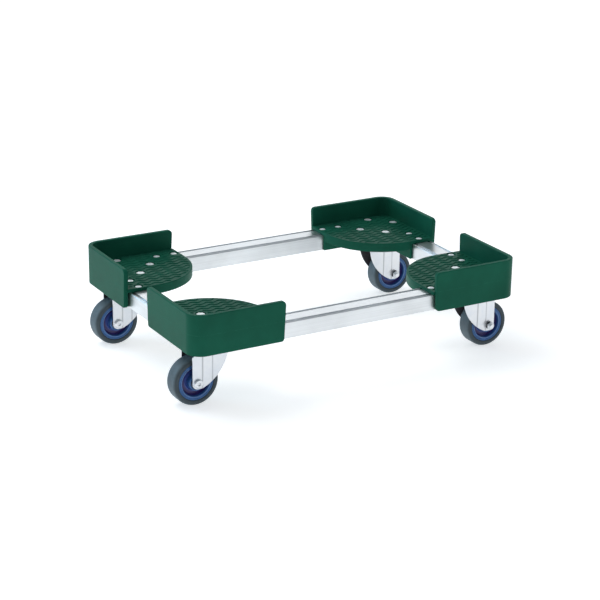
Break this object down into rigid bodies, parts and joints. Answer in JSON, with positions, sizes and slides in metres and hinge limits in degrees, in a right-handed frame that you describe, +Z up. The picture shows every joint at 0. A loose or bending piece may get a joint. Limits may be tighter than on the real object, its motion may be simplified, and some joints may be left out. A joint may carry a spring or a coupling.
{
  "type": "crate dolly",
  "caption": "Low rolling dolly for a stack of crates: moulded corner pieces with raised walls, joined by grooved aluminium rails, on swivel castors.",
  "frame": {"origin": "on the floor, under the centre of the frame", "axes": "+X along the length to the right, +Y from the front to the back, +Z up"},
  "size_m": [0.644, 0.42, 0.1687],
  "materials": {
    "moulded_green": "satin, lightly grained moulding",
    "rail_aluminium": "mill finish, drawn along the rail",
    "rivet_steel": "bright",
    "bolt_zinc": "zinc plated",
    "fork_zinc": "bright zinc plated sheet",
    "race_steel": "ground steel",
    "seal_grey": "matt",
    "rim_blue": "satin moulding",
    "tyre_grey": "matt elastic rubber"
  },
  "bodies": {
    "frame": {"corner_front_left": "moulded_green", "corner_front_right": "moulded_green", "corner_back_left": "moulded_green", "corner_back_right": "moulded_green", "rail_front": "rail_aluminium", "rail_back": "rail_aluminium", "rail_left": "rail_aluminium", "rail_right": "rail_aluminium", "rail_rivets": "rivet_steel", "castor_bolts": "bolt_zinc", "castor_washers": "bolt_zinc", "castor_nuts": "bolt_zinc", "castor_plate_front_left": "fork_zinc", "castor_plate_front_right": "fork_zinc", "castor_plate_back_left": "fork_zinc", "castor_plate_back_right": "fork_zinc", "kingpin_front_left": "race_steel", "kingpin_front_right": "race_steel", "kingpin_back_left": "race_steel", "kingpin_back_right": "race_steel"},
    "swivel_front_left": {"fork_front_left": "fork_zinc", "race_balls_front_left": "race_steel", "race_seal_front_left": "seal_grey", "axle_bolt_front_left": "bolt_zinc", "axle_nut_front_left": "bolt_zinc", "axle_sleeve_front_left": "bolt_zinc"},
    "wheel_front_left": {"rim_front_left": "rim_blue", "tyre_front_left": "tyre_grey", "wheel_bearings_front_left": "race_steel"},
    "swivel_front_right": {"fork_front_right": "fork_zinc", "race_balls_front_right": "race_steel", "race_seal_front_right": "seal_grey", "axle_bolt_front_right": "bolt_zinc", "axle_nut_front_right": "bolt_zinc", "axle_sleeve_front_right": "bolt_zinc"},
    "wheel_front_right": {"rim_front_right": "rim_blue", "tyre_front_right": "tyre_grey", "wheel_bearings_front_right": "race_steel"},
    "swivel_back_left": {"fork_back_left": "fork_zinc", "race_balls_back_left": "race_steel", "race_seal_back_left": "seal_grey", "axle_bolt_back_left": "bolt_zinc", "axle_nut_back_left": "bolt_zinc", "axle_sleeve_back_left": "bolt_zinc"},
    "wheel_back_left": {"rim_back_left": "rim_blue", "tyre_back_left": "tyre_grey", "wheel_bearings_back_left": "race_steel"},
    "swivel_back_right": {"fork_back_right": "fork_zinc", "race_balls_back_right": "race_steel", "race_seal_back_right": "seal_grey", "axle_bolt_back_right": "bolt_zinc", "axle_nut_back_right": "bolt_zinc", "axle_sleeve_back_right": "bolt_zinc"},
    "wheel_back_right": {"rim_back_right": "rim_blue", "tyre_back_right": "tyre_grey", "wheel_bearings_back_right": "race_steel"}
  },
  "joints": [
    {"name": "castor_swivel_front_left", "type": "hinge", "parent": "frame", "child": "swivel_front_left", "pos_m": [-0.252, -0.152, 0.1], "axis": [0, 0, 1], "continuous": true},
    {"name": "wheel_spin_front_left", "type": "hinge", "parent": "swivel_front_left", "child": "wheel_front_left", "pos_m": [-0.282, -0.152, 0.04], "axis": [0, 1, 0], "continuous": true},
    {"name": "castor_swivel_front_right", "type": "hinge", "parent": "frame", "child": "swivel_front_right", "pos_m": [0.252, -0.152, 0.1], "axis": [0, 0, 1], "continuous": true},
    {"name": "wheel_spin_front_right", "type": "hinge", "parent": "swivel_front_right", "child": "wheel_front_right", "pos_m": [0.282, -0.152, 0.04], "axis": [0, 1, 0], "continuous": true},
    {"name": "castor_swivel_back_left", "type": "hinge", "parent": "frame", "child": "swivel_back_left", "pos_m": [-0.252, 0.152, 0.1], "axis": [0, 0, 1], "continuous": true},
    {"name": "wheel_spin_back_left", "type": "hinge", "parent": "swivel_back_left", "child": "wheel_back_left", "pos_m": [-0.282, 0.152, 0.04], "axis": [0, 1, 0], "continuous": true},
    {"name": "castor_swivel_back_right", "type": "hinge", "parent": "frame", "child": "swivel_back_right", "pos_m": [0.252, 0.152, 0.1], "axis": [0, 0, 1], "continuous": true},
    {"name": "wheel_spin_back_right", "type": "hinge", "parent": "swivel_back_right", "child": "wheel_back_right", "pos_m": [0.282, 0.152, 0.04], "axis": [0, 1, 0], "continuous": true}
  ]
}
